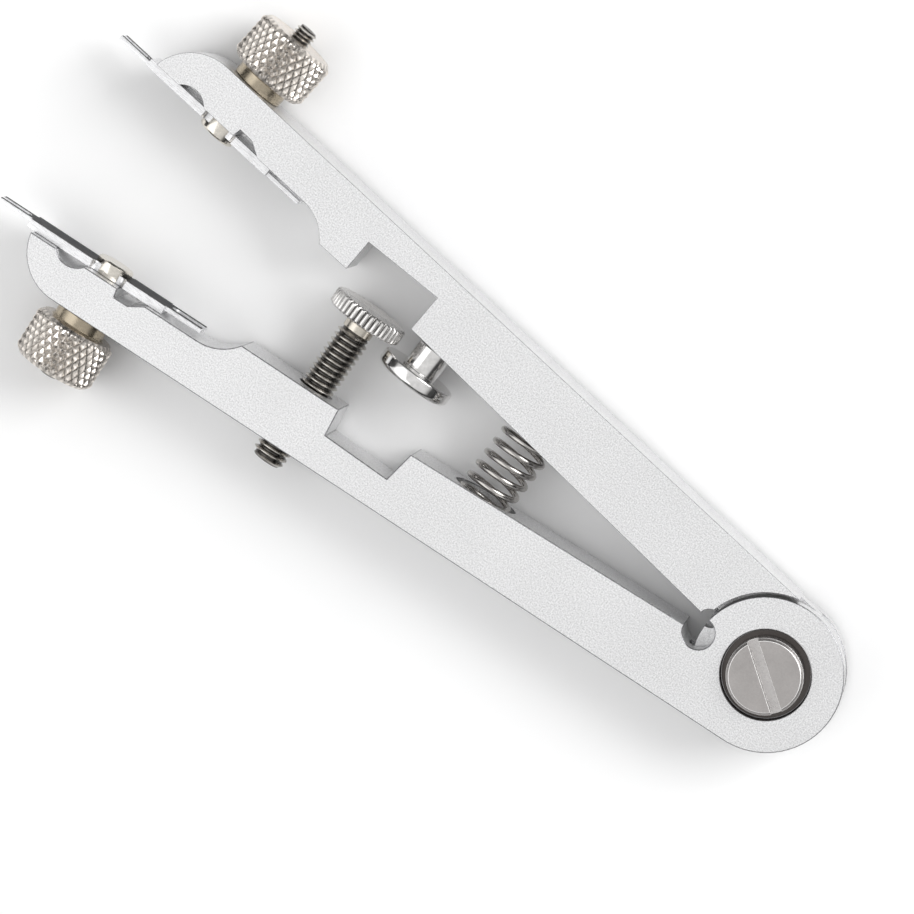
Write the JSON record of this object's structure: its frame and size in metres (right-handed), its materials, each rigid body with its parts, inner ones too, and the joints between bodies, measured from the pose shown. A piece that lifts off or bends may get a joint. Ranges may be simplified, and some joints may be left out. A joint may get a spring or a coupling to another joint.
{
  "type": "spring-bar pliers",
  "caption": "V-shaped spring-bar pliers for watch bracelets: hinged arms held open by a coil spring, a thumb screw that sets the opening, and a reversible forked blade clamped in each nose.",
  "frame": {"origin": "on the pivot axis, in the plane of the rear faces of the arms and of the pivot sleeve's head", "axes": "+Z along the pivot axis towards the slotted screw head, +X from the pivot between the arms towards the noses, +Y towards the lower arm"},
  "size_m": [0.1076, 0.0485, 0.0106],
  "materials": {
    "arm_aluminium": "bead-blasted and clear anodised, fine satin grain",
    "pivot_steel": "fine turned, dull",
    "spring_steel": "drawn wire, bright",
    "screw_steel": "cut thread, bright flanks",
    "wheel_steel": "turned faces, ribbed rim",
    "polished_steel": "polished",
    "blade_steel": "hardened, ground",
    "bolt_nickel": "nickel plated",
    "nut_nickel": "nickel plated, diamond knurled"
  },
  "bodies": {
    "lower_arm": {"lower_arm": "arm_aluminium", "pivot_screw": "pivot_steel", "pivot_sleeve": "pivot_steel", "return_spring": "spring_steel"},
    "upper_arm": {"upper_arm": "arm_aluminium", "catch_button": "polished_steel"},
    "thumb_screw": {"adjusting_screw": "screw_steel"},
    "thumb_wheel": {"thumb_wheel": "wheel_steel"},
    "lower_blade": {"lower_fork_blade": "blade_steel", "lower_clamp_bolt": "bolt_nickel"},
    "upper_blade": {"upper_fork_blade": "blade_steel", "upper_clamp_bolt": "bolt_nickel"},
    "lower_nut": {"lower_clamp_nut": "nut_nickel"},
    "upper_nut": {"upper_clamp_nut": "nut_nickel"}
  },
  "joints": [
    {"name": "arm_squeeze", "type": "hinge", "parent": "lower_arm", "child": "upper_arm", "pos_m": [0, 0, 0.004], "axis": [0, 0, 1], "range_deg": [0, 4.2], "stiffness_Nm_per_rad": 2.7, "springref_deg": -1.72, "deforming": ["return_spring"]},
    {"name": "screw_travel", "type": "slide", "parent": "lower_arm", "child": "thumb_screw", "axis": [0.0366, -0.9993, 0], "range_m": [0, 0.0014]},
    {"name": "wheel_turn", "type": "hinge", "parent": "thumb_screw", "child": "thumb_wheel", "pos_m": [0.05835, 0.00644, 0.004], "axis": [0.0366, -0.9993, 0], "range_deg": [0, 720]},
    {"name": "lower_blade_swivel", "type": "hinge", "parent": "lower_arm", "child": "lower_blade", "pos_m": [0.08419, 0.01097, 0.004], "axis": [0.0861, -0.9963, 0], "range_deg": [0, 180]},
    {"name": "upper_blade_swivel", "type": "hinge", "parent": "upper_arm", "child": "upper_blade", "pos_m": [0.08419, -0.01097, 0.004], "axis": [0.0861, 0.9963, 0], "range_deg": [0, 180]},
    {"name": "lower_nut_turn", "type": "hinge", "parent": "lower_blade", "child": "lower_nut", "pos_m": [0.08419, 0.01097, 0.004], "axis": [0.0861, -0.9963, 0], "continuous": true},
    {"name": "upper_nut_turn", "type": "hinge", "parent": "upper_blade", "child": "upper_nut", "pos_m": [0.08419, -0.01097, 0.004], "axis": [0.0861, 0.9963, 0], "continuous": true}
  ],
  "couplings": [
    {"joint": "wheel_turn", "follows": "screw_travel", "rad_per_m": 8976}
  ]
}
